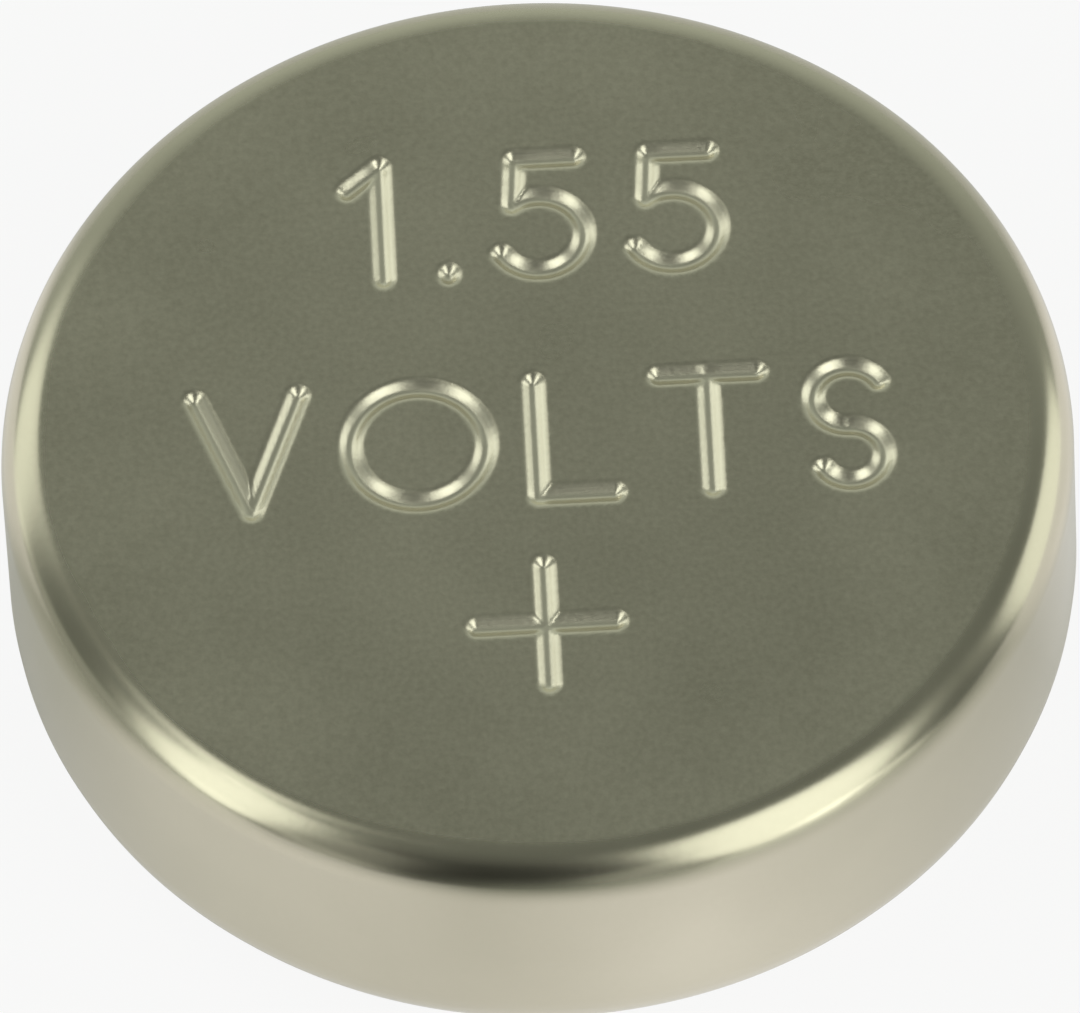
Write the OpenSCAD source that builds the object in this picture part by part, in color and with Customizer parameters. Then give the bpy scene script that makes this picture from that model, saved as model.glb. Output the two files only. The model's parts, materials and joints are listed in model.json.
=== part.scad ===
// Silver oxide button cell: a crimped can and cap with a gasket between them,
// and the electrodes and separators that they seal in.
// Millimetres. The axis is Z, the negative face rests on Z = 0 and the positive face is up.

/* [Cell] */
// Outside diameter of the can
cell_d = 7.9; // [6.8:0.05:11.6]
// Overall height, from the negative face to the positive face
cell_h = 2.6; // [2.2:0.05:5.4]

/* [Positive can] */
// Thickness of the can's sheet
can_t = 0.2; // [0.12:0.01:0.3]
// Outside radius of the edge around the positive face
can_corner_r = 0.35; // [0.31:0.01:0.6]
// Outside radius of the crimped edge at the mouth
crimp_r = 0.65; // [0.5:0.01:0.8]

/* [Polarity mark] */
// Length of each bar of the stamped plus
plus_l = 1.25; // [0.6:0.05:1.6]
// Width of the bars
plus_w = 0.2; // [0.1:0.01:0.35]
// Depth of the stamping
plus_depth = 0.05; // [0.02:0.01:0.1]
// Distance of the plus from the middle of the face
plus_offset = 1.74; // [0:0.02:2.2]

/* [Negative cap] */
// Thickness of the cap's sheet
cap_t = 0.18; // [0.12:0.01:0.22]
// Height of the cap, from the negative face to its rim
cap_h = 1.32; // [1.2:0.02:1.6]
// Outside radius of the edge around the negative face
cap_edge_r = 0.35; // [0.25:0.01:0.45]
// How far the negative face stands below the crimped edge
cap_stand = 0.25; // [0.15:0.01:0.35]

/* [Sealing gasket] */
// Thickness between the can's wall and the cap's skirt
gasket_wall_t = 0.28; // [0.2:0.01:0.35]
// Thickness between the crimped edge and the cap's shoulder
gasket_crimp_t = 0.2; // [0.12:0.01:0.26]
// Width of the ring that shows between the crimped edge and the cap
gasket_mouth_w = 0.3; // [0.16:0.01:0.4]
// How far the ring's bead lies above the lowest point of the crimped edge
gasket_bead_inset = 0.03; // [0:0.01:0.1]
// Thickness of the foot under the cap's rim
gasket_foot_t = 0.2; // [0.12:0.01:0.3]
// Thickness of the lip inside the cap's skirt
gasket_lip_t = 0.2; // [0.12:0.01:0.3]
// How far the lip reaches along the skirt
gasket_lip_h = 0.3; // [0.1:0.02:0.4]

/* [Separators] */
// Thickness of the barrier membrane
barrier_t = 0.08; // [0.04:0.01:0.15]
// Thickness of the absorbent pad
pad_t = 0.2; // [0.1:0.01:0.3]
// Radial clearance around the separator discs
disc_clearance = 0.03; // [0.01:0.01:0.08]

/* [Hidden] */
$fn = 192;

// Shares of the step between the cap's throat and skirt that its two bends take
shoulder_bend_share = 0.6;
throat_bend_share = 0.35;
// How far a cutting shape runs past the face that it cuts
overrun = 0.5;

// The can: outside, inside, and the rim of its crimped mouth
can_r = cell_d / 2;
can_inner_r = can_r - can_t;
can_inner_corner_r = can_corner_r - can_t;
can_inner_z = cell_h - can_t;
crimp_z = cap_stand;
crimp_inner_r = crimp_r - can_t;
crimp_inner_z = crimp_z + can_t;
mouth_r = can_r - crimp_r;

// The cap: its narrow throat shows in the mouth, its wide skirt sits in the gasket
throat_r = mouth_r - gasket_mouth_w;
skirt_r = can_inner_r - gasket_wall_t;
shoulder_z = crimp_inner_z + gasket_crimp_t;
shoulder_bend_r = (skirt_r - throat_r) * shoulder_bend_share;
throat_bend_r = (skirt_r - throat_r) * throat_bend_share;

// The gasket's lip and the stack above the cap's rim
lip_r = skirt_r - cap_t - gasket_lip_t;
bead_r = gasket_mouth_w / 2;
bead_z = crimp_z + gasket_bead_inset + bead_r;
barrier_z = cap_h + gasket_foot_t;
pad_z = barrier_z - pad_t;
pellet_z = barrier_z + barrier_t;

// A quarter of a disc, in the corner between +X and +Y before it is turned
module quarter_disc(r, turn) {
    rotate(turn) intersection() {
        circle(r);
        square(r + overrun);
    }
}

// Half section of a turned block from the axis to r and from z0 to z1, with its outer corners rounded.
// A corner inside a wall that is thicker than the outer radius is sharp.
module block_section(r, z0, z1, low_r = 0, high_r = 0) {
    low = max(low_r, 0);
    high = max(high_r, 0);
    translate([0, z0 + low]) square([r, z1 - high - z0 - low]);
    if (low > 0) {
        translate([0, z0]) square([r - low, low]);
        translate([r - low, z0 + low]) quarter_disc(low, -90);
    }
    if (high > 0) {
        translate([0, z1 - high]) square([r - high, high]);
        translate([r - high, z1 - high]) quarter_disc(high, 0);
    }
}

// Half section of a flat disc
module disc_section(r, z, t) {
    translate([0, z]) square([r, t]);
}

// Half section of everything inside the cap's outside surface, or inside a surface set in from it,
// up to z1: a throat with a rounded edge, a bend outwards, a shoulder and a skirt
module cap_section(inset, z1) {
    throat = throat_r - inset;
    low = shoulder_z + inset;
    bend = throat_bend_r + inset;
    block_section(throat, inset, z1, low_r = cap_edge_r - inset);
    block_section(skirt_r - inset, low, z1, low_r = shoulder_bend_r - inset);
    difference() {
        translate([0, low - bend]) square([throat + bend, bend]);
        translate([throat + bend, low - bend]) circle(bend);
    }
}

// Half section of the gasket's lip, inside the cap's skirt
module lip_section() {
    intersection() {
        translate([lip_r, cap_h - gasket_lip_h]) square([gasket_lip_t, gasket_lip_h]);
        cap_section(cap_t, cap_h);
    }
}

// Outline of the stamped plus, with round-ended bars
module plus_outline() {
    bar_l = plus_l - plus_w;
    for (turn = [0, 90]) rotate(turn) {
        square([bar_l, plus_w], center = true);
        for (side = [-1, 1]) translate([side * bar_l / 2, 0]) circle(d = plus_w);
    }
}

module positive_can() {
    color([0.62, 0.6, 0.52]) difference() {
        rotate_extrude() difference() {
            block_section(can_r, crimp_z, cell_h, low_r = crimp_r, high_r = can_corner_r);
            block_section(can_inner_r, crimp_inner_z, can_inner_z,
                low_r = crimp_inner_r, high_r = can_inner_corner_r);
            disc_section(mouth_r, crimp_z - overrun, can_t + overrun);
        }
        translate([0, -plus_offset, cell_h - plus_depth])
            linear_extrude(plus_depth + overrun) plus_outline();
    }
}

module negative_cap() {
    color([0.7, 0.68, 0.62]) rotate_extrude() difference() {
        cap_section(0, cap_h);
        cap_section(cap_t, cap_h + overrun);
    }
}

module sealing_gasket() {
    color([0.87, 0.87, 0.8]) rotate_extrude() {
        difference() {
            union() {
                block_section(can_inner_r, crimp_inner_z, cap_h, low_r = crimp_inner_r);
                disc_section(mouth_r, bead_z, shoulder_z - bead_z);
                translate([throat_r + bead_r, bead_z]) circle(bead_r);
            }
            cap_section(0, cap_h + overrun);
        }
        translate([lip_r, cap_h]) square([can_inner_r - lip_r, gasket_foot_t]);
        lip_section();
    }
}

module cathode_pellet() {
    color([0.17, 0.16, 0.16]) rotate_extrude()
        block_section(can_inner_r, pellet_z, can_inner_z, high_r = can_inner_corner_r);
}

module barrier_separator() {
    color([0.8, 0.84, 0.86]) rotate_extrude()
        disc_section(can_inner_r - disc_clearance, barrier_z, barrier_t);
}

module absorbent_pad() {
    color([0.93, 0.92, 0.88]) rotate_extrude()
        disc_section(lip_r - disc_clearance, pad_z, pad_t);
}

module zinc_anode() {
    color([0.47, 0.49, 0.52]) rotate_extrude() {
        difference() {
            cap_section(cap_t, min(cap_h, pad_z));
            lip_section();
        }
        if (pad_z > cap_h) disc_section(lip_r, cap_h, pad_z - cap_h);
    }
}

positive_can();
negative_cap();
sealing_gasket();
cathode_pellet();
barrier_separator();
absorbent_pad();
zinc_anode();
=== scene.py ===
"""Looks of a silver oxide button cell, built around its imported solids.

The can, the cap and the gasket are fine surfaces of revolution, and the can's face also carries the
stamped marks as a height field. The discs that are sealed inside keep their solids and get finishes.

Lengths are in millimetres until a mesh is written, and angles in degrees. The axis is Z, the negative
face rests on Z = 0 and the positive face is up. A section has a row of radius and height for each of
its points.
"""

import json
import logging
import math
from dataclasses import dataclass, field
from enum import Enum

import bpy
import numpy as np
from bpy.types import Material, Node, NodeTree, Object
from bpy.types import NodeSocket as Socket
from mathutils import Matrix, Vector

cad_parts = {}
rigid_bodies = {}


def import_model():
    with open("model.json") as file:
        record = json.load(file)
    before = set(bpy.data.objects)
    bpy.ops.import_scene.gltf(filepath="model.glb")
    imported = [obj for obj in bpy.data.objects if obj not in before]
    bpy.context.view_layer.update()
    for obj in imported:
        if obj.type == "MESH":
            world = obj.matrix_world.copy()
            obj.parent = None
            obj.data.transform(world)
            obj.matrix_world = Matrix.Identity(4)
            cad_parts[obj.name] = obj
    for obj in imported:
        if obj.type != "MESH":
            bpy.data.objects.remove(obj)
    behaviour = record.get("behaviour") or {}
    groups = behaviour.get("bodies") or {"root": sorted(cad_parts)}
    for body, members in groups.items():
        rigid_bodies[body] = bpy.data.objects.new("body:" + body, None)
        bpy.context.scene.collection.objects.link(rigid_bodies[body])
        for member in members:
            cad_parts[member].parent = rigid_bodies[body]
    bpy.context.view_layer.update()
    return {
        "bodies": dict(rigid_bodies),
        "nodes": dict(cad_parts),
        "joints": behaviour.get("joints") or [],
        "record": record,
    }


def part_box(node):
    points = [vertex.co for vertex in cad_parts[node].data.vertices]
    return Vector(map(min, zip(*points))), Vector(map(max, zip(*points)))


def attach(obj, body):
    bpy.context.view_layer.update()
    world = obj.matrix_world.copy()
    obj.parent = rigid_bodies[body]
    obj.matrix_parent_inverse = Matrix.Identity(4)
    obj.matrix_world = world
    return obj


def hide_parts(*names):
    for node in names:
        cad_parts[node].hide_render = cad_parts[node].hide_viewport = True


MM = 0.001
BODY = "root"

# Edges that turn by more than this stay sharp
CREASE = 40.0
# A length that counts as nothing
TINY = 1e-9
# The middle of a noise, and the range that it mostly keeps to
NOISE_MIDDLE = 0.5
NOISE_RANGE = (0.3, 0.7)

Point = tuple[float, float]
Colour = tuple[float, float, float]
Shares = tuple[float, float, float]
Array = np.ndarray

log = logging.getLogger("button_cell")


@dataclass
class Surface:
    """A mesh in the making: points in millimetres, faces as index rows, and values at its points.

    Attributes:
        points: one row of x, y, z a point.
        quads: one row of four point numbers a face, anticlockwise from outside.
        triangles: the same with three point numbers a face.
        values: named arrays of one number a point, which the finishes read.
        normals: one row of x, y, z a point, all zero where its faces give the normal, or None where
            they do so everywhere.
    """

    points: Array
    quads: Array = field(default_factory=lambda: np.empty((0, 4), int))
    triangles: Array = field(default_factory=lambda: np.empty((0, 3), int))
    values: dict[str, Array] = field(default_factory=dict)
    normals: Array | None = None

    def triangle_count(self) -> int:
        """Number of triangles that the faces come to."""
        return 2 * len(self.quads) + len(self.triangles)

    def to_object(self, name: str) -> Object:
        """Writes the surface as a smooth-shaded mesh object at the origin, in metres.

        Args:
            name: the object's name.

        Returns:
            The new object.
        """
        mesh = bpy.data.meshes.new(name)
        mesh.from_pydata((self.points * MM).tolist(), [], self.quads.tolist() + self.triangles.tolist())
        for key, values in self.values.items():
            attribute = mesh.attributes.new(key, "FLOAT", "POINT")
            attribute.data.foreach_set("value", values.astype(np.float32))
        mesh.shade_smooth()
        mesh.set_sharp_from_angle(angle=math.radians(CREASE))
        if self.normals is not None:
            mesh.normals_split_custom_set_from_vertices(self.normals.tolist())
        mesh.update()
        piece = bpy.data.objects.new(name, mesh)
        bpy.context.scene.collection.objects.link(piece)
        return piece


def arc(centre: Point, radius: float, start: float, end: float, steps: int) -> Array:
    """Section points from angle to angle: the centre plus the radius times the cosine and sine."""
    angle = np.radians(np.linspace(start, end, steps + 1))
    return np.stack([centre[0] + radius * np.cos(angle), centre[1] + radius * np.sin(angle)], axis=1)


def section(*pieces: Array | Point) -> Array:
    """Joins arcs and single points, in order, into one section with straight lines between them."""
    return np.concatenate([np.atleast_2d(np.asarray(piece, float)) for piece in pieces])


def even_angles(columns: int) -> Array:
    """That many even angles around the axis, in radians."""
    return np.arange(columns) * (2 * math.pi / columns)


def turned_points(profile: Array, angles: Array) -> Array:
    """Carries a section around the axis: its radius times each angle's cosine and sine, and its height."""
    grid = profile[:, :1] * np.cos(angles), profile[:, :1] * np.sin(angles), profile[:, 1:] + 0 * angles
    return np.stack(grid, axis=2).reshape(-1, 3)


def ring_quads(upper: Array, lower: Array) -> Array:
    """Faces between each row of point numbers and the row after it, closed around the axis."""
    beside_upper, beside_lower = np.roll(upper, -1, axis=-1), np.roll(lower, -1, axis=-1)
    return np.stack([upper, lower, beside_lower, beside_upper], axis=-1).reshape(-1, 4)


def pole_triangles(row: Array, pole: int) -> Array:
    """Faces between a last row of point numbers and the point on the axis after it."""
    return np.stack([row, np.full(len(row), pole), np.roll(row, -1)], axis=1)


def rubbing(points: Array, start: float, width: float) -> Array:
    """How far each point is rubbed: the share of the width that its radius lies past the start."""
    return np.clip((np.hypot(points[:, 0], points[:, 1]) - start) / width, 0, 1)


@dataclass(frozen=True)
class Line:
    """A straight stroke of a stamp, from start to end."""

    start: Point
    end: Point

    def nearest(self, spots: Array) -> Array:
        """Closest point to each spot: the start plus the spot's clamped projection on the direction."""
        run = np.array(self.end) - self.start
        return self.start + np.clip((spots - self.start) @ run / max(run @ run, TINY), 0, 1)[:, None] * run

    def placed(self, size: float, corner: Point) -> "Line":
        """The stroke scaled by size and moved to a corner."""
        ends = [(corner[0] + size * x, corner[1] + size * y) for x, y in (self.start, self.end)]
        return Line(*ends)


@dataclass(frozen=True)
class Bow:
    """A stroke of a stamp on a circle, from the start angle through the sweep."""

    centre: Point
    radius: float
    start: float
    sweep: float

    def nearest(self, spots: Array) -> Array:
        """Closest point to each spot: on the circle at the spot's own angle, held within the sweep.

        Args:
            spots: one row of x, y a spot.

        Returns:
            One row of x, y a spot.
        """
        away = spots - self.centre
        middle = math.radians(self.start + self.sweep / 2)
        half = math.radians(abs(self.sweep) / 2)
        turn = np.arctan2(away[:, 1], away[:, 0]) - middle
        turn = np.clip((turn + math.pi) % (2 * math.pi) - math.pi, -half, half) + middle
        return self.centre + self.radius * np.stack([np.cos(turn), np.sin(turn)], axis=1)

    def placed(self, size: float, corner: Point) -> "Bow":
        """The stroke scaled by size and moved to a corner."""
        centre = (corner[0] + size * self.centre[0], corner[1] + size * self.centre[1])
        return Bow(centre, size * self.radius, self.start, self.sweep)


@dataclass(frozen=True)
class Sign:
    """One figure or letter: its width and its strokes, in cap heights from its lower left corner."""

    width: float
    strokes: tuple[Line | Bow, ...]


SIGNS: dict[str, Sign] = {
    "1": Sign(0.34, (Line((0.26, 0.0), (0.26, 1.0)), Line((0.26, 1.0), (0.02, 0.8)))),
    ".": Sign(0.06, (Line((0.03, 0.0), (0.03, 0.02)),)),
    "5": Sign(0.62, (
        Line((0.56, 1.0), (0.12, 1.0)),
        Line((0.12, 1.0), (0.09, 0.6)),
        Bow((0.28, 0.33), 0.33, 125, -275),
    )),
    "V": Sign(0.76, (Line((0.0, 1.0), (0.38, 0.0)), Line((0.38, 0.0), (0.76, 1.0)))),
    "O": Sign(1.0, (Bow((0.5, 0.5), 0.5, 0, 360),)),
    "L": Sign(0.56, (Line((0.0, 1.0), (0.0, 0.0)), Line((0.0, 0.0), (0.56, 0.0)))),
    "T": Sign(0.72, (Line((0.0, 1.0), (0.72, 1.0)), Line((0.36, 1.0), (0.36, 0.0)))),
    "S": Sign(0.6, (Bow((0.3, 0.74), 0.26, 30, 240), Bow((0.3, 0.24), 0.24, 90, -240))),
}


@dataclass(frozen=True)
class StampedLine:
    """A line of figures or letters that is pressed into the face.

    Attributes:
        text: the signs, left to right.
        cap_height: height of a sign.
        width: width of the whole line.
        middle: where its middle lies on the face.
    """

    text: str
    cap_height: float
    width: float
    middle: Point

    def strokes(self) -> list[Line | Bow]:
        """Sets out the line's signs, with even gaps between them that fill its width.

        Returns:
            The strokes at their places on the face.
        """
        widths = [SIGNS[sign].width * self.cap_height for sign in self.text]
        gap = (self.width - sum(widths)) / (len(widths) - 1)
        left = self.middle[0] - self.width / 2
        bottom = self.middle[1] - self.cap_height / 2
        placed = []
        for sign, width in zip(self.text, widths):
            placed += [stroke.placed(self.cap_height, (left, bottom)) for stroke in SIGNS[sign].strokes]
            left += width + gap
        return placed


@dataclass(frozen=True)
class Stamp:
    """The marks pressed into the positive face: a plain plus, and the voltage in figures.

    Attributes:
        plus_length: length of each bar of the plus.
        plus_offset: how far the plus lies in front of the face's middle.
        width: width of a stroke at the surface.
        shoulder_share: share of half that width over which the bank rounds off at the edge.
        trough_share: share of half that width over which the bottom is round.
        depth: depth of the strokes.
        meeting: distance over which the banks of two strokes blend where they meet.
        lines: the lines of figures and letters.
    """

    plus_length: float = 1.25
    plus_offset: float = 1.74
    width: float = 0.23
    shoulder_share: float = 0.45
    trough_share: float = 0.35
    depth: float = 0.05
    meeting: float = 0.015
    lines: tuple[StampedLine, ...] = (
        StampedLine("1.55", 1.0, 2.75, (0.05, 1.87)),
        StampedLine("VOLTS", 1.0, 5.1, (0.05, -0.12)),
    )

    def strokes(self) -> list[Line | Bow]:
        """Gathers the two bars of the plus and the strokes of every line.

        Returns:
            All the strokes on the face.
        """
        arm = (self.plus_length - self.width) / 2
        y = -self.plus_offset
        plus = [Line((-arm, y), (arm, y)), Line((0.0, y - arm), (0.0, y + arm))]
        return plus + [stroke for line in self.lines for stroke in line.strokes()]

    def press(self, spots: Array) -> tuple[Array, Array]:
        """Presses the strokes into a flat grid.

        From a stroke's edge to its middle line, the depth follows a parabola over the shoulder, a
        straight bank, and a parabola over the trough, which meet at the same slope. The slope points
        to the middle line, and where strokes meet it is their mean, each weighed by how near it is.

        Args:
            spots: one row of x, y a spot.

        Returns:
            How deep each spot lies, and one row of the depth's slope along x and y a spot.
        """
        steps = np.stack([spots - stroke.nearest(spots) for stroke in self.strokes()])
        distance = np.linalg.norm(steps, axis=2)
        best = distance.min(axis=0)
        near = np.exp((best - distance) / self.meeting)
        away = (steps / np.maximum(distance, TINY)[:, :, None] * near[:, :, None]).sum(axis=0)
        away /= near.sum(axis=0)[:, None]
        half, shoulder, trough = self.width / 2, self.shoulder_share, self.trough_share
        inward = np.clip(1 - best / half, 0, 1)
        fall = 1 - (shoulder + trough) / 2
        top, bank = inward**2 / (2 * shoulder), inward - shoulder / 2
        bottom = fall - (1 - inward) ** 2 / (2 * trough)
        share = np.select([inward < shoulder, inward < 1 - trough], [top, bank], bottom) / fall
        steep = np.minimum(inward / shoulder, (1 - inward) / trough).clip(0, 1)
        slope = -(steep * self.depth / (half * fall))[:, None] * away
        return self.depth * share, slope


@dataclass(frozen=True)
class Can:
    """The positive can: a drawn cup, base up, with a stamped face and a crimped mouth.

    Attributes:
        radius: outside radius.
        height: height of the positive face.
        stand: height of the crimped edge's lowest point.
        sheet: thickness of the sheet.
        corner: outside radius of the edge around the face.
        crimp: outside radius of the crimped edge.
        crimp_turns: how far the crimped edge turns in, outside and inside, before its rim.
        rim_round: radius that rounds the cut rim.
        crown: how far the face's edge lies below its middle.
        rub_share: share of the corner's radius over which satin turns to rubbed metal.
        cells: cells across the face's grid; the sides have four times as many columns.
        steps: chords of each arc of the section, from the face's edge on.
        stamp: the marks on the face.
    """

    radius: float
    height: float
    stand: float
    sheet: float = 0.2
    corner: float = 0.35
    crimp: float = 0.65
    crimp_turns: Point = (86.0, 84.0)
    rim_round: float = 0.03
    crown: float = 0.04
    rub_share: float = 0.2
    cells: int = 252
    steps: tuple[int, ...] = (10, 8, 2, 2, 3, 2)
    stamp: Stamp = Stamp()

    def lean(self) -> float:
        """Angle in radians at which the crowned face meets the corner: its slope is twice its fall."""
        return math.atan(2 * self.crown / (self.radius - self.corner))

    def edge(self) -> float:
        """Radius at which the face ends and the corner goes on at the same slope."""
        return self.radius - self.corner + self.corner * math.sin(self.lean())

    def spots(self) -> Array:
        """Maps a square grid onto the face's disc.

        A grid point's square ring gives its radius, and its place along that side of the square gives
        its angle, up to an eighth of a turn from the side's middle.

        Returns:
            One row of x, y a spot.
        """
        steps = np.linspace(-1, 1, self.cells + 1)
        across, along = (axis.ravel() for axis in np.meshgrid(steps, steps, indexing="ij"))
        wide = np.abs(across) > np.abs(along)
        ring = np.where(wide, across, along)
        share = np.where(wide, along, across) / np.where(ring == 0, 1, ring)
        angle = np.where(wide, share, 2 - share) * (math.pi / 4)
        return self.edge() * ring[:, None] * np.stack([np.cos(angle), np.sin(angle)], axis=1)

    def face(self) -> tuple[Surface, Array]:
        """Crowns the face and presses the stamp into it.

        The height falls by the crown times the square of the radius's share, and by the stamp's depth.
        Each cell is cut along the diagonal whose ends differ less in height, to keep strokes smooth.

        Returns:
            The open face, and the point numbers of its boundary, anticlockwise from an eighth of a
            turn before +X.
        """
        edge, spots = self.edge(), self.spots()
        depth, slope = self.stamp.press(spots)
        height = self.height - self.crown * (spots**2).sum(axis=1) / edge**2 - depth
        normals = np.column_stack([2 * self.crown * spots / edge**2 + slope, np.ones(len(spots))])
        normals /= np.linalg.norm(normals, axis=1)[:, None]
        number = np.arange(len(spots)).reshape(self.cells + 1, -1)
        corners = number[:-1, :-1], number[1:, :-1], number[1:, 1:], number[:-1, 1:]
        first, second, third, fourth = (corner.ravel() for corner in corners)
        cut = np.abs(height[first] - height[third]) <= np.abs(height[second] - height[fourth])
        upper = np.where(cut, [first, second, third], [first, second, fourth])
        lower = np.where(cut, [first, third, fourth], [second, third, fourth])
        triangles = np.concatenate([upper.T, lower.T])
        made = Surface(np.column_stack([spots, height]), triangles=triangles, normals=normals)
        made.values["stamped"] = depth / self.stamp.depth
        sides = number[-1, :-1], number[:0:-1, -1], number[0, :0:-1], number[:-1, 0]
        return made, np.concatenate(sides)

    def side_section(self) -> Array:
        """Draws the section from the edge of the face, down the wall, around the rim and back inside.

        Returns:
            The section.
        """
        lean, rim = self.lean(), self.rim_round
        corner = (self.radius - self.corner, self.height - self.crown - self.corner * math.cos(lean))
        bend = (self.radius - self.crimp, self.stand + self.crimp)
        tip = bend[0] + rim
        arcs = (
            (corner, self.corner, 90 - math.degrees(lean), 0),
            (bend, self.crimp, 0, -self.crimp_turns[0]),
            ((tip, self.stand + rim), rim, -90, -180),
            ((tip, self.stand + self.sheet - rim), rim, 180, 90),
            (bend, self.crimp - self.sheet, -self.crimp_turns[1], 0),
            (corner, self.corner - self.sheet, 0, 90),
        )
        return section(*(arc(*sizes, steps) for sizes, steps in zip(arcs, self.steps)))

    def surface(self) -> Surface:
        """Joins the face, the sides that are turned from its boundary on, and the inside of the base.

        Returns:
            The closed surface, with the face's own normals and the values that its finish reads.
        """
        face, boundary = self.face()
        profile = self.side_section()[1:]
        start, columns = len(face.points), len(boundary)
        sides = turned_points(profile, even_angles(columns) - math.pi / 4)
        points = np.concatenate([face.points, sides, [[0.0, 0.0, profile[-1, 1]]]])
        rows = np.concatenate([boundary, start + np.arange(len(sides))]).reshape(-1, columns)
        inside = pole_triangles(rows[-1], len(points) - 1)
        made = Surface(points, ring_quads(rows[:-1], rows[1:]), np.concatenate([face.triangles, inside]))
        rest = len(points) - start
        made.normals = np.concatenate([face.normals, np.zeros((rest, 3))])
        made.values["rubbed"] = rubbing(points, self.radius - self.corner, self.corner * self.rub_share)
        made.values["stamped"] = np.concatenate([face.values["stamped"], np.zeros(rest)])
        return made


@dataclass(frozen=True)
class Cap:
    """The negative cap: a stepped cup, flat side down, whose skirt sits in the gasket.

    Attributes:
        rim: height of its rim.
        throat: outside radius of the narrow part that shows.
        skirt: outside radius of the wide part.
        shoulder: height of the shoulder's outside.
        sheet: thickness of the sheet.
        edge: outside radius of the edge around the negative face.
        shoulder_bend_share: share of the step from throat to skirt in the shoulder's bend.
        throat_bend_share: share of it in the throat's bend.
        rub_share: share of the edge's radius over which satin turns to rubbed metal.
        bend_steps: chords around each bend.
        edge_steps: chords around the edge.
        columns: steps around the axis.
    """

    rim: float
    throat: float
    skirt: float
    shoulder: float
    sheet: float = 0.18
    edge: float = 0.35
    shoulder_bend_share: float = 0.6
    throat_bend_share: float = 0.35
    rub_share: float = 0.5
    bend_steps: int = 8
    edge_steps: int = 12
    columns: int = 480

    def outline(self, inset: float) -> Array:
        """Draws the section of the cap's outside, or of a surface set in from it.

        Args:
            inset: how far the surface lies inside the outside one.

        Returns:
            The section, from the rim down to the axis.
        """
        step = self.skirt - self.throat
        outer, inner = step * self.shoulder_bend_share, step * self.throat_bend_share
        return section(
            (self.skirt - inset, self.rim),
            arc((self.skirt - outer, self.shoulder + outer), outer - inset, 0, -90, self.bend_steps),
            arc((self.throat + inner, self.shoulder - inner), inner + inset, 90, 180, self.bend_steps),
            arc((self.throat - self.edge, self.edge), self.edge - inset, 0, -90, self.edge_steps),
            (0.0, inset),
        )

    def surface(self) -> Surface:
        """Turns the inside's section from the axis up to the rim, then the outside's back to the axis.

        Returns:
            The closed surface, with one point at each pole and the values that its finish reads.
        """
        profile = section(self.outline(self.sheet)[::-1], self.outline(0.0))
        turned = turned_points(profile[1:-1], even_angles(self.columns))
        points = np.concatenate([turned, [[0.0, 0.0, self.sheet], [0.0, 0.0, 0.0]]])
        rows = np.arange(len(turned)).reshape(-1, self.columns)
        first = np.stack([np.full(self.columns, len(turned)), rows[0], np.roll(rows[0], -1)], axis=1)
        last = pole_triangles(rows[-1], len(turned) + 1)
        made = Surface(points, ring_quads(rows[:-1], rows[1:]), np.concatenate([first, last]))
        made.values["rubbed"] = rubbing(points, self.throat - self.edge, self.edge * self.rub_share)
        made.values["stamped"] = np.zeros(len(points))
        return made


@dataclass(frozen=True)
class Gasket:
    """The sealing gasket: a ring, J-shaped in section, that fills the gap between can and cap.

    Attributes:
        can: the can around it.
        cap: the cap inside it.
        top: height of its foot's upper face.
        lip: thickness of the lip inside the skirt.
        lip_reach: how far the lip reaches along the skirt.
        bead_inset: how far the bead lies above the crimped edge's lowest point.
        crimp_steps: chords along the crimped edge.
        bead_steps: chords around the bead.
        columns: steps around the axis.
    """

    can: Can
    cap: Cap
    top: float
    lip: float = 0.2
    lip_reach: float = 0.3
    bead_inset: float = 0.03
    crimp_steps: int = 10
    bead_steps: int = 16
    columns: int = 480

    def surface(self) -> Surface:
        """Turns the section: down the can's wall, around the bead, up the cap and around its rim.

        Returns:
            The closed surface.
        """
        can, cap = self.can, self.cap
        mouth = can.radius - can.crimp
        bead = (mouth - cap.throat) / 2
        bead_height = can.stand + self.bead_inset + bead
        skirt = cap.skirt - cap.sheet
        lip_end = cap.rim - self.lip_reach
        outside = cap.outline(0.0)[::-1]
        against_cap = outside[(outside[:, 1] > bead_height) & (outside[:, 0] >= cap.throat - TINY)]
        profile = section(
            (can.radius - can.sheet, self.top),
            arc((mouth, can.stand + can.crimp), can.crimp - can.sheet, 0, -90, self.crimp_steps),
            arc((mouth - bead, bead_height), bead, 0, -180, self.bead_steps),
            against_cap,
            (skirt, cap.rim),
            (skirt, lip_end),
            (skirt - self.lip, lip_end),
            (skirt - self.lip, self.top),
        )
        points = turned_points(profile, even_angles(self.columns))
        rows = np.arange(len(points)).reshape(-1, self.columns)
        return Surface(points, ring_quads(rows, np.roll(rows, -1, axis=0)))


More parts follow.
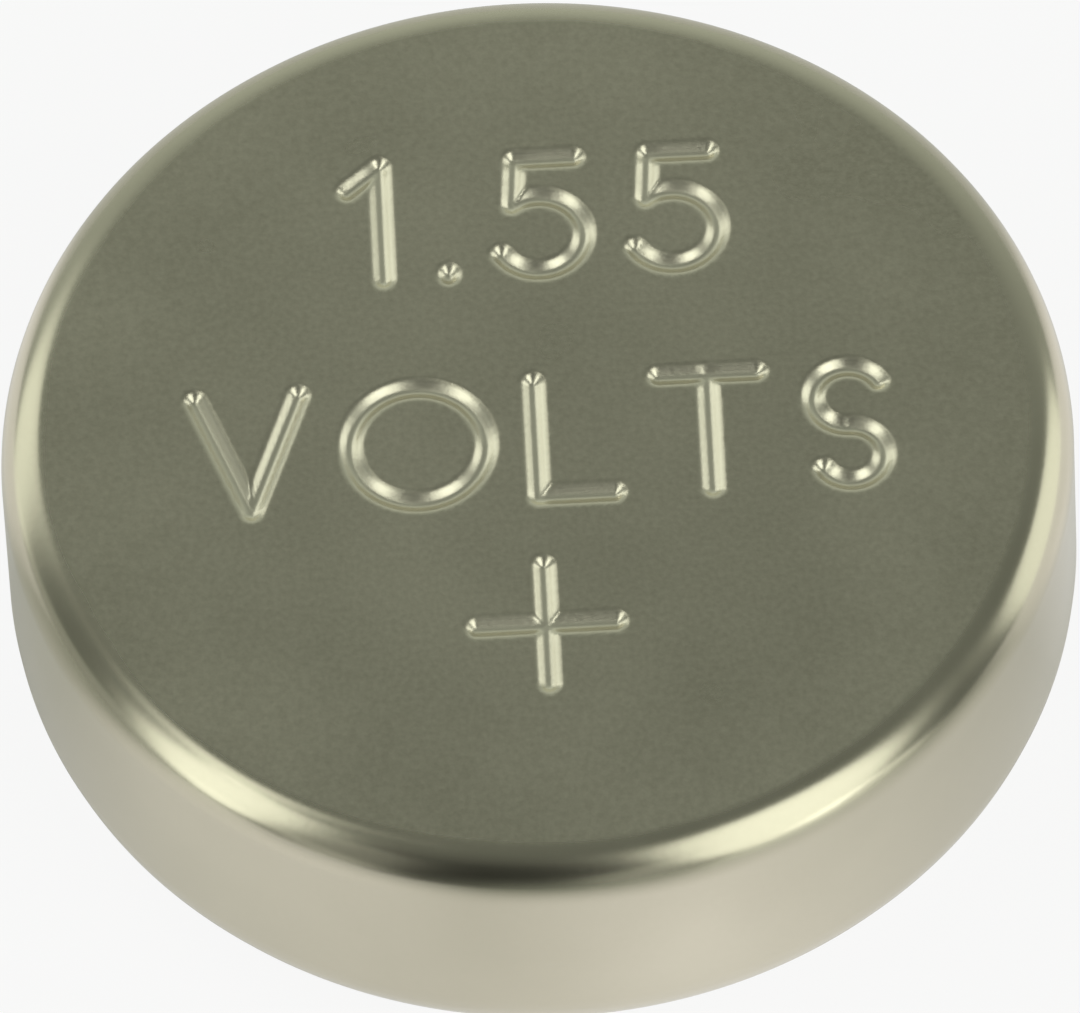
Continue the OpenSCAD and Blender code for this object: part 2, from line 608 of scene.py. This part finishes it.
class Graph:
    """A node tree, with short calls to add nodes and join them."""

    def __init__(self, tree: NodeTree) -> None:
        """Takes over an empty or default tree and clears it."""
        self.tree = tree
        tree.nodes.clear()

    def feed(self, node: Node, inputs: dict) -> None:
        """Sets or joins a node's inputs.

        Args:
            node: the node.
            inputs: socket names or numbers, each with a plain value or an output socket to join.
        """
        for key, value in inputs.items():
            if isinstance(value, Socket):
                self.tree.links.new(value, node.inputs[key])
            else:
                node.inputs[key].default_value = value

    def add(self, kind: str, inputs: dict | None = None, **settings: str) -> Node:
        """Adds a node.

        Args:
            kind: the node's type name.
            inputs: what its inputs are fed.
            settings: the node's own properties.

        Returns:
            The new node.
        """
        node = self.tree.nodes.new(kind)
        for key, value in settings.items():
            setattr(node, key, value)
        self.feed(node, inputs or {})
        return node

    def place(self, stretch: Shares = (1.0, 1.0, 1.0)) -> Socket:
        """The surface's own place in millimetres, stretched along the axes."""
        spot = self.add("ShaderNodeTexCoord").outputs["Object"]
        return self.add("ShaderNodeMapping", {"Vector": spot, "Scale": Vector(stretch) / MM}).outputs[0]

    def noise(self, place: Socket, per_mm: float, octaves: float = 2.0) -> Socket:
        """Noise of a given fineness, about 0 to 1 around a half."""
        inputs = {"Vector": place, "Scale": per_mm, "Detail": octaves}
        return self.add("ShaderNodeTexNoise", inputs).outputs["Fac"]

    def value(self, name: str) -> Socket:
        """One of the mesh's own values at its points."""
        return self.add("ShaderNodeAttribute", attribute_name=name).outputs["Fac"]

    def math(self, operation: str, *terms: float | Socket) -> Socket:
        """A sum, product or the like of its terms."""
        return self.add("ShaderNodeMath", dict(enumerate(terms)), operation=operation).outputs["Value"]

    def vector(self, operation: str, *terms: Point | Shares | Vector | Socket) -> Node:
        """A node for the distance, direction or the like of its terms."""
        return self.add("ShaderNodeVectorMath", dict(enumerate(terms)), operation=operation)

    def spread(self, value: Socket, low: float, high: float, start: float = 0, stop: float = 1) -> Socket:
        """The value carried from the range start to stop onto the range low to high, and held there."""
        inputs = {"Value": value, "From Min": start, "From Max": stop, "To Min": low, "To Max": high}
        return self.add("ShaderNodeMapRange", inputs).outputs["Result"]

    def blend(self, share: Socket, first: Colour | Socket, second: Colour) -> Socket:
        """A colour between two, by the share of the second. The node's colours are sockets 6, 7 and 2."""
        colours = {6: first if isinstance(first, Socket) else (*first, 1.0), 7: (*second, 1.0)}
        return self.add("ShaderNodeMix", {0: share, **colours}, data_type="RGBA").outputs[2]

    def mixed(self, share: Socket, first: Socket, second: Socket) -> Socket:
        """A shader between two shaders, by the share of the second."""
        return self.add("ShaderNodeMixShader", {0: share, 1: first, 2: second}).outputs["Shader"]

    def relief(self, height: Socket, depth: float) -> Socket:
        """A normal that shows the height, of that depth in millimetres."""
        return self.add("ShaderNodeBump", {"Height": height, "Distance": depth * MM}).outputs["Normal"]


def shaded(name: str) -> tuple[Material, Graph, Node]:
    """A new material with one surface shader.

    Args:
        name: the material's name.

    Returns:
        The material, its graph and its surface shader.
    """
    material = bpy.data.materials.new(name)
    material.use_nodes = True
    graph = Graph(material.node_tree)
    shader = graph.add("ShaderNodeBsdfPrincipled")
    graph.add("ShaderNodeOutputMaterial", {"Surface": shader.outputs["BSDF"]})
    return material, graph, shader


@dataclass(frozen=True)
class Nickel:
    """Nickel on drawn sheet: a fine satin grain, smoother where rubbed, and fresh where stamped, made
    lighter there as a painted highlight.

    Attributes:
        name: the material's name.
        dull: colour in the grain's hollows.
        bright: colour on its tops.
        fresh_with_painted_highlight: colour in the strokes, fresh metal made lighter than nickel is as a
            painted highlight.
        satin: roughness of the flat faces.
        rubbed: roughness of the edges and the wall.
        stamped: roughness at the bottom of the strokes.
        stamped_from: share of a stroke's depth at which its finish and its painted highlight are whole.
        grain_per_mm: fineness of the grain.
        grain_octaves: layers of detail in it.
        grain_depth: its depth.
        grain_tone: how much it shows in the colour.
        rubbed_grain: share of it that is left on rubbed metal.
        patches_per_mm: fineness of the broad patches.
        patch_tones: tones of the darkest and the lightest patch.
        patch_roughness: how far a patch's roughness goes up or down.
        waviness: depth of the patches.
        drawn_per_mm: fineness of the upright drawing lines on rubbed metal.
        drawn_stretch: share of that fineness along the lines.
        drawing: depth of the lines, as a share of the grain's depth.
    """

    name: str
    dull: Colour = (0.57, 0.53, 0.42)
    bright: Colour = (0.7, 0.655, 0.53)
    # Lighter than nickel is: fresh metal in the strokes, with a painted highlight
    fresh_with_painted_highlight: Colour = (0.88, 0.83, 0.68)
    satin: float = 0.3
    rubbed: float = 0.22
    stamped: float = 0.33
    stamped_from: float = 0.4
    grain_per_mm: float = 22.0
    grain_octaves: float = 3.0
    grain_depth: float = 0.0012
    grain_tone: float = 0.7
    rubbed_grain: float = 0.1
    patches_per_mm: float = 0.7
    patch_tones: Point = (0.35, 0.65)
    patch_roughness: float = 0.03
    waviness: float = 0.003
    drawn_per_mm: float = 14.0
    drawn_stretch: float = 0.08
    drawing: float = 0.15

    def material(self) -> Material:
        """Builds the finish from the grain, the patches and the drawing lines, with a painted highlight in
        the strokes.

        Returns:
            The material.
        """
        material, graph, shader = shaded(self.name)
        place = graph.place()
        worn = graph.value("rubbed")
        # How deep in a stroke: it makes the strokes rougher, and lighter as a painted highlight
        struck_with_painted_highlight = graph.spread(graph.value("stamped"), 0.0, 1.0, 0.0, self.stamped_from)
        patches = graph.noise(place, self.patches_per_mm)
        drawn = graph.noise(graph.place((1.0, 1.0, self.drawn_stretch)), self.drawn_per_mm)
        grain = graph.noise(place, self.grain_per_mm, self.grain_octaves)
        grain = graph.math("SUBTRACT", grain, NOISE_MIDDLE)
        grain = graph.math("MULTIPLY", grain, graph.spread(worn, 1.0, self.rubbed_grain))
        tone = graph.math("MULTIPLY", grain, self.grain_tone)
        tone = graph.math("ADD", tone, graph.spread(patches, *self.patch_tones))
        colour = graph.blend(graph.spread(tone, 0.0, 1.0, *NOISE_RANGE), self.dull, self.bright)
        rough = graph.spread(worn, self.satin, self.rubbed)
        rough = graph.math("MAXIMUM", rough, graph.math("MULTIPLY", struck_with_painted_highlight, self.stamped))
        change = graph.spread(patches, -self.patch_roughness, self.patch_roughness, *NOISE_RANGE)
        lines = graph.math("MULTIPLY", graph.math("MULTIPLY", drawn, worn), self.drawing)
        waves = graph.math("MULTIPLY", patches, self.waviness / self.grain_depth)
        height = graph.math("ADD", graph.math("ADD", grain, lines), waves)
        graph.feed(shader, {
            "Metallic": 1.0,
            # The strokes' colour is fresh metal, made lighter as a painted highlight
            "Base Color": graph.blend(struck_with_painted_highlight, colour, self.fresh_with_painted_highlight),
            "Roughness": graph.math("ADD", rough, change),
            "Normal": graph.relief(height, self.grain_depth),
        })
        return material


@dataclass(frozen=True)
class Nylon:
    """Moulded nylon: a slightly translucent off-white with a fine matte skin.

    Attributes:
        name: the material's name.
        shade: colour in the skin's hollows.
        light: colour on its tops.
        roughness: its roughness.
        roughness_change: how far that goes up or down.
        skin_per_mm: fineness of the skin.
        skin_octaves: layers of detail in it.
        skin_depth: its depth.
        through: share of the light that goes through it.
        reach: how far red, green and blue light go.
    """

    name: str
    shade: Colour = (0.7, 0.69, 0.6)
    light: Colour = (0.8, 0.79, 0.71)
    roughness: float = 0.42
    roughness_change: float = 0.06
    skin_per_mm: float = 9.0
    skin_octaves: float = 4.0
    skin_depth: float = 0.003
    through: float = 0.3
    reach: Shares = (0.3, 0.28, 0.22)

    def material(self) -> Material:
        """Builds the finish from one noise, for the skin's colour, roughness and relief.

        Returns:
            The material.
        """
        material, graph, shader = shaded(self.name)
        skin = graph.noise(graph.place(), self.skin_per_mm, self.skin_octaves)
        low, high = self.roughness - self.roughness_change, self.roughness + self.roughness_change
        graph.feed(shader, {
            "Base Color": graph.blend(skin, self.shade, self.light),
            "Roughness": graph.spread(skin, low, high, *NOISE_RANGE),
            "Normal": graph.relief(skin, self.skin_depth),
            "Subsurface Weight": self.through,
            "Subsurface Radius": self.reach,
            "Subsurface Scale": MM,
        })
        return material


@dataclass(frozen=True)
class Powder:
    """A pressed or gelled powder, or a fibre mat: two tones in grains, with relief.

    Attributes:
        name: the material's name.
        dark: colour between the grains.
        light: colour of the grains.
        grains_per_mm: fineness of the grains.
        relief: depth of the grains.
        roughness: roughness of the surface.
        metallic: how metallic the grains are.
        stretch: shares along the axes, for grains that run one way.
        octaves: layers of detail in the grains.
        tones: range of the noise that goes from dark to light.
    """

    name: str
    dark: Colour
    light: Colour
    grains_per_mm: float
    relief: float
    roughness: float
    metallic: float = 0.0
    stretch: Shares = (1.0, 1.0, 1.0)
    octaves: float = 5.0
    tones: Point = (0.35, 0.65)

    def material(self) -> Material:
        """Builds the finish from one noise, for the grains' colour and relief.

        Returns:
            The material.
        """
        material, graph, shader = shaded(self.name)
        grains = graph.noise(graph.place(self.stretch), self.grains_per_mm, self.octaves)
        graph.feed(shader, {
            "Base Color": graph.blend(graph.spread(grains, 0.0, 1.0, *self.tones), self.dark, self.light),
            "Normal": graph.relief(grains, self.relief),
            "Roughness": self.roughness,
            "Metallic": self.metallic,
        })
        return material


class Sealed(Enum):
    """The pieces that are sealed inside, each with the finish of its solid."""

    # Name, dark and light colour, grains per millimetre, relief and roughness
    cathode_pellet = Powder("pressed_oxide", (0.02, 0.019, 0.02), (0.06, 0.056, 0.055), 30.0, 0.004, 0.7)
    barrier_separator = Powder("barrier_film", (0.7, 0.75, 0.78), (0.8, 0.84, 0.86), 2.0, 0.0005, 0.2)
    absorbent_pad = Powder(
        "pad_fibre", (0.7, 0.69, 0.64), (0.88, 0.87, 0.83), 18.0, 0.012, 0.85, stretch=(1.0, 0.2, 1.0)
    )
    zinc_anode = Powder("zinc_gel", (0.2, 0.21, 0.23), (0.5, 0.52, 0.55), 16.0, 0.02, 0.35, metallic=0.6)


@dataclass(frozen=True)
class Softbox:
    """A flat oval lamp that faces the cell.

    Attributes:
        name: the lamp's name.
        azimuth: its direction, from the front towards the right.
        elevation: its angle above the horizon.
        width: its width as an angle.
        height: its height as an angle.
        radiance: how bright its face is, where white paper is about 1.
        roll: its turn about the line to the cell.
        tint: colour of its light.
        distance: its distance.
    """

    name: str
    azimuth: float
    elevation: float
    width: float
    height: float
    radiance: float
    roll: float = 0.0
    tint: Colour = (0.96, 1.0, 0.9)
    distance: float = 300.0

    def build(self, target: Vector) -> None:
        """Adds the lamp, aimed at a target and not shown to the camera itself.

        Its sides are the distance times twice the tangent of half their angles, and its power is its
        radiance times pi times the area of its oval.

        Args:
            target: the point that it faces, in metres.
        """
        lamp = bpy.data.lights.new(self.name, "AREA")
        lamp.shape = "ELLIPSE"
        spans = (2 * math.tan(math.radians(angle / 2)) for angle in (self.width, self.height))
        lamp.size, lamp.size_y = (self.distance * span * MM for span in spans)
        lamp.energy = self.radiance * math.pi * (math.pi / 4 * lamp.size * lamp.size_y)
        lamp.color = self.tint
        azimuth, elevation = math.radians(self.azimuth), math.radians(self.elevation)
        level = math.cos(elevation)
        direction = Vector((level * math.sin(azimuth), -level * math.cos(azimuth), math.sin(elevation)))
        holder = bpy.data.objects.new(self.name, lamp)
        bpy.context.scene.collection.objects.link(holder)
        holder.location = target + direction * (self.distance * MM)
        turn = direction.to_track_quat("Z", "Y").to_matrix().to_4x4()
        holder.rotation_euler = (turn @ Matrix.Rotation(math.radians(self.roll), 4, "Z")).to_euler()
        holder.visible_camera = False


@dataclass(frozen=True)
class PaintedFan:
    """A painted fan of white glow on the floor, seen only in the metal, spread around one direction from
    the axis.

    Attributes:
        azimuth: its middle, from the front towards the right.
        full: how far from its middle it keeps its whole share.
        gone: how far from its middle it ends.
        share: share of painted white glow in what the metal mirrors there.
    """

    azimuth: float
    full: float
    gone: float
    share: float

    def glow(self, graph: Graph, heading: Socket) -> Socket:
        """Its share of painted glow by heading: it fades with the cosine of the angle between heading and
        middle.

        Args:
            graph: the floor's node tree.
            heading: the direction from the axis, of length 1.

        Returns:
            The share's socket.
        """
        turn = math.radians(self.azimuth)
        along = graph.vector("DOT_PRODUCT", heading, (math.sin(turn), -math.cos(turn), 0.0))
        edges = [math.cos(math.radians(angle)) for angle in (self.gone, self.full)]
        return graph.spread(along.outputs["Value"], 0.0, self.share, *edges)


@dataclass(frozen=True)
class Studio:
    """A pale floor in a dim room, with softboxes at both sides, in front of them and behind them.

    Attributes:
        floor_half: half the floor's width.
        floor_gap: how far the floor lies under the cell.
        floor_colour: the floor's colour.
        floor_roughness: roughness of its satin sheen.
        floor_glow: share of plain white in what the camera sees of it.
        painted_pool: middle of the painted pool of white glow on the floor, which only the metal mirrors.
        painted_pool_glow: share of painted white glow in what the metal mirrors there.
        painted_pool_reach: distance over which that share falls to a third.
        painted_fans: the painted fans of white glow on the floor, by azimuth, full and gone angle, and
            share.
        painted_fan_start: distances from the axis at which the painted fans begin and reach their whole
            share.
        room_levels: the room's brightness at places from its front, -1, to its back, 1.
        room_tint: colour of the room.
        lamps: the softboxes, by azimuth, elevation, width, height and radiance.
    """

    floor_half: float = 600.0
    floor_gap: float = 0.005
    floor_colour: Colour = (0.8, 0.8, 0.8)
    floor_roughness: float = 0.3
    floor_glow: float = 0.9
    # A painted pool and painted fans of white glow on the floor, which only the metal mirrors
    painted_pool: Point = (1.5, -4.7)
    painted_pool_glow: float = 0.95
    painted_pool_reach: float = 5.6
    painted_fans: tuple[PaintedFan, ...] = (
        PaintedFan(-118.0, 10.0, 22.0, 0.6),
        PaintedFan(-46.0, 10.0, 34.0, 0.45),
        PaintedFan(107.0, 13.0, 29.0, 0.68),
        PaintedFan(180.0, 45.0, 75.0, 0.22),
    )
    painted_fan_start: Point = (3.2, 7.0)
    room_levels: tuple[Point, ...] = (
        (-1.0, 0.2), (-0.95, 0.08), (-0.85, 0.03), (-0.6, 0.04), (-0.4, 0.1), (-0.1, 0.155),
        (0.25, 0.175), (0.5, 0.21), (0.6, 0.285), (0.7, 0.35), (0.8, 0.42), (1.0, 0.58),
    )
    room_tint: Colour = (0.92, 1.0, 0.87)
    lamps: tuple[Softbox, ...] = (
        Softbox("left_softbox", -66.0, 34.0, 26.0, 64.0, 1.5, roll=12.0),
        Softbox("left_high_softbox", -103.0, 66.5, 24.0, 10.0, 1.6, roll=-29.0),
        Softbox("left_low_softbox", -72.0, 9.0, 90.0, 24.0, 0.2),
        Softbox("left_front_softbox", -39.0, 24.0, 20.0, 56.0, 0.22),
        Softbox("right_softbox", 44.0, 34.0, 38.0, 76.0, 1.5, roll=-9.0),
        Softbox("right_low_softbox", 54.0, 4.0, 26.0, 14.0, 0.9),
        Softbox("right_front_softbox", 17.0, 14.0, 24.0, 34.0, 0.25),
        Softbox("left_rear_softbox", -129.0, 24.0, 20.0, 62.0, 0.95, roll=28.0),
        Softbox("right_rear_softbox", 109.0, 13.0, 34.0, 56.0, 1.05, roll=-8.0),
    )

    def painted_mirrored_glow(self, graph: Graph) -> Socket:
        """Share of painted white glow in what the metal mirrors of the floor.

        The painted pool's share falls by the exponential of the distance from its middle, and each
        painted fan adds its own times a spread of the distance from the axis.

        Args:
            graph: the floor's node tree.

        Returns:
            The share's socket.
        """
        spot = graph.add("ShaderNodeTexCoord").outputs["Object"]
        middle = Vector((*self.painted_pool, -self.floor_gap)) * MM
        away = graph.vector("DISTANCE", spot, middle).outputs["Value"]
        glow = graph.math("EXPONENT", graph.math("DIVIDE", away, -self.painted_pool_reach * MM))
        glow = graph.math("MULTIPLY", glow, self.painted_pool_glow)
        heading = graph.vector("NORMALIZE", spot).outputs["Vector"]
        outward = graph.vector("LENGTH", spot).outputs["Value"]
        clear_of_cell = graph.spread(outward, 0.0, 1.0, *(reach * MM for reach in self.painted_fan_start))
        for fan in self.painted_fans:
            fanned = graph.math("MULTIPLY", fan.glow(graph, heading), clear_of_cell)
            glow = graph.math("ADD", glow, fanned)
        return glow

    def paper(self) -> Material:
        """Makes the floor's satin paper, which is clear from below.

        What the camera sees of it has an even share of plain white, what the metal mirrors of it has a
        painted pool and painted fans of white glow, and the rest keeps the cell's shadow.

        Returns:
            The material.
        """
        material, graph, paper = shaded("floor_paper_with_painted_glow")
        graph.feed(paper, {"Base Color": (*self.floor_colour, 1.0), "Roughness": self.floor_roughness})
        white = graph.add("ShaderNodeEmission", {"Strength": 1.0}).outputs["Emission"]
        clear = graph.add("ShaderNodeBsdfTransparent").outputs["BSDF"]
        below = graph.add("ShaderNodeNewGeometry").outputs["Backfacing"]
        path = graph.add("ShaderNodeLightPath").outputs
        # Rays that the metal mirrors see the painted pool and fans of white glow, in their share
        mirrored = graph.math("MAXIMUM", path["Is Glossy Ray"], path["Is Transmission Ray"])
        mirrored = graph.math("MULTIPLY", mirrored, self.painted_mirrored_glow(graph))
        seen = graph.math("MULTIPLY", path["Is Camera Ray"], self.floor_glow)
        upper = graph.mixed(graph.math("MAXIMUM", seen, mirrored), paper.outputs["BSDF"], white)
        graph.feed(graph.tree.get_output_node("ALL"), {"Surface": graph.mixed(below, upper, clear)})
        return material

    def floor(self) -> None:
        """Lays the floor, a flat square, just under the negative face."""
        half, z = self.floor_half, -self.floor_gap
        corners = np.array([[-half, -half, z], [half, -half, z], [half, half, z], [-half, half, z]])
        plane = Surface(corners, np.array([[0, 1, 2, 3]])).to_object("floor")
        plane.data.materials.append(self.paper())

    def room(self) -> None:
        """Makes the room's own light, a ramp of its levels from its front to its back."""
        world = bpy.data.worlds.new("room")
        world.use_nodes = True
        graph = Graph(world.node_tree)
        direction = graph.add("ShaderNodeTexCoord").outputs["Generated"]
        depth = graph.add("ShaderNodeSeparateXYZ", {"Vector": direction}).outputs["Y"]
        ramp = graph.add("ShaderNodeValToRGB", {"Fac": graph.spread(depth, 0.0, 1.0, -1.0, 1.0)})
        stops = ramp.color_ramp.elements
        while len(stops) < len(self.room_levels):
            stops.new(1.0)
        for stop, (place, level) in zip(stops, self.room_levels):
            stop.position = (place + 1) / 2
            stop.color = (*(level * tint for tint in self.room_tint), 1.0)
        glow = graph.add("ShaderNodeBackground", {"Color": ramp.outputs["Color"], "Strength": 1.0})
        graph.add("ShaderNodeOutputWorld", {"Surface": glow.outputs["Background"]})
        bpy.context.scene.world = world

    def build(self, target: Vector) -> None:
        """Sets up the floor, the room and the lamps.

        Args:
            target: the point that the lamps face, in metres.
        """
        self.floor()
        self.room()
        for lamp in self.lamps:
            lamp.build(target)


@dataclass(frozen=True)
class PhotoView:
    """The photograph's camera, as fitted to the can's outline in it.

    Attributes:
        image: width and height of the photograph in pixels.
        face_pixel: where the middle of the positive face shows in it.
        pixels_per_mm: scale there.
        distance: distance from there to the camera.
        elevation: angle of the camera above the horizon.
        roll: turn of the camera about its own line of sight.
        sensor: width of the camera's sensor.
        reach: the nearest and the farthest distance that it shows.
    """

    image: tuple[int, int] = (1080, 1013)
    face_pixel: Point = (536.0, 425.1)
    pixels_per_mm: float = 136.07
    distance: float = 200.0
    elevation: float = 56.63
    roll: float = -3.01
    sensor: float = 36.0
    reach: Point = (1.0, 10000.0)

    def build(self, face: Vector) -> None:
        """Adds the camera so that the face's middle falls on its pixel, and makes it the scene's own.

        Args:
            face: the middle of the positive face, in metres.
        """
        tilt = math.radians(90 - self.elevation)
        turn = Matrix.Rotation(tilt, 4, "X") @ Matrix.Rotation(math.radians(self.roll), 4, "Z")
        pairs = zip(self.image, self.face_pixel)
        right, down = ((size / 2 - pixel) / self.pixels_per_mm for size, pixel in pairs)
        back = Matrix.Translation(Vector((right, -down, self.distance)) * MM)
        camera = bpy.data.cameras.new("photo_camera")
        camera.sensor_fit = "HORIZONTAL"
        camera.sensor_width = self.sensor
        camera.lens = self.pixels_per_mm * self.distance * self.sensor / self.image[0]
        camera.clip_start = self.reach[0] * MM
        camera.clip_end = self.reach[1] * MM
        holder = bpy.data.objects.new("photo_camera", camera)
        bpy.context.scene.collection.objects.link(holder)
        holder.matrix_world = Matrix.Translation(face) @ turn @ back
        bpy.context.scene.camera = holder


@dataclass(frozen=True)
class Cell:
    """The whole cell: the three pieces that show, and the pieces sealed inside.

    Attributes:
        gasket_mouth: width of the gasket between the crimped edge and the cap's throat.
        gasket_crimp: its thickness between the crimped edge and the cap's shoulder.
    """

    frame: dict
    gasket_mouth: float = 0.3
    gasket_crimp: float = 0.2

    def sizes(self) -> tuple[Can, Cap, Gasket]:
        """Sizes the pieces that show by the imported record's mounts and the solids' boxes.

        Returns:
            The can, the cap and the gasket.
        """
        mounts = {mount["name"]: mount for mount in self.frame["record"]["mounts"]}
        radius = mounts["can_wall"]["dims"]["r_mm"]
        height = mounts["positive_face"]["pos_m"][2] / MM
        can = Can(radius, height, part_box("positive_can")[0].z / MM)
        cap_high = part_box("negative_cap")[1] / MM
        gasket_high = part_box("sealing_gasket")[1] / MM
        throat = radius - can.crimp - self.gasket_mouth
        cap = Cap(cap_high.z, throat, cap_high.x, can.stand + can.sheet + self.gasket_crimp)
        return can, cap, Gasket(can, cap, gasket_high.z)

    def add(self, name: str, surface: Surface, finish: Nickel | Nylon, slot: str) -> None:
        """Adds a piece that stands for the solid of the same place, and dresses it.

        Args:
            name: the solid's name.
            surface: the piece's surface.
            finish: its finish.
            slot: the record's material slot; not used.
        """
        piece = surface.to_object(f"{name}_surface")
        piece.data.materials.append(finish.material())
        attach(piece, BODY)
        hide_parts(name)
        log.info("%s: %d triangles", piece.name, surface.triangle_count())

    def build(self) -> None:
        """Builds and dresses the pieces that show, then dresses the sealed solids."""
        can, cap, gasket = self.sizes()
        self.add("positive_can", can.surface(), Nickel("can_nickel"), "can_nickel")
        self.add("negative_cap", cap.surface(), Nickel("cap_nickel"), "cap_nickel")
        self.add("sealing_gasket", gasket.surface(), Nylon("gasket_nylon"), "gasket_nylon")
        for sealed in Sealed:
            solid = self.frame["nodes"][sealed.name]
            solid.data.materials.clear()
            solid.data.materials.append(sealed.value.material())
            log.info("%s: finished as %s", solid.name, sealed.value.name)


def main() -> None:
    """Loads the solids, sets up the camera, the cell and the studio."""
    logging.basicConfig(level=logging.INFO, format="%(name)s: %(message)s")
    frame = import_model()
    bpy.context.scene.view_settings.view_transform = "Standard"
    face = Vector((0.0, 0.0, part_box("positive_can")[1].z))
    PhotoView().build(face)
    Cell(frame).build()
    Studio().build(face)


if __name__ == "__main__":
    main()
